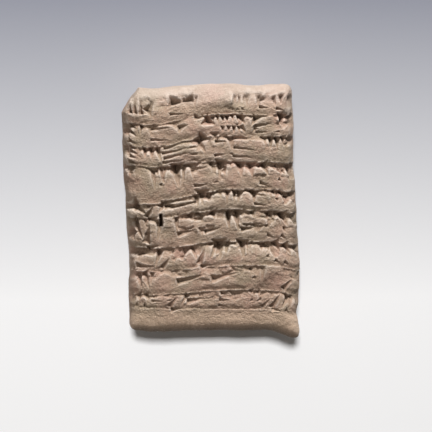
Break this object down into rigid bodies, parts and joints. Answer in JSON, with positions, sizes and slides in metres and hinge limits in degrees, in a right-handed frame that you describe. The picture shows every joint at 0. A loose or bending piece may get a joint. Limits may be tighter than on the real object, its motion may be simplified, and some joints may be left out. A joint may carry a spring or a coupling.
{
  "type": "cuneiform clay tablet",
  "caption": "Small hand-moulded clay tablet, pillow-shaped, with ruled rows of wedge-shaped stylus strokes on its upper face; lies loose on its back as a held or displayed relic.",
  "frame": {"origin": "under the middle of the tablet, on the surface that it lies on: the middle of the bounding box in X and Y, at the resting flat of the reverse", "axes": "+Z is the outward normal of the inscribed obverse, +Y runs up the text towards the head of the tablet, +X runs in the reading direction, from left to right"},
  "size_m": [0.037, 0.0528, 0.0148],
  "materials": {
    "dried_clay": "matte"
  },
  "bodies": {
    "root": {"tablet": "dried_clay"}
  },
  "joints": []
}
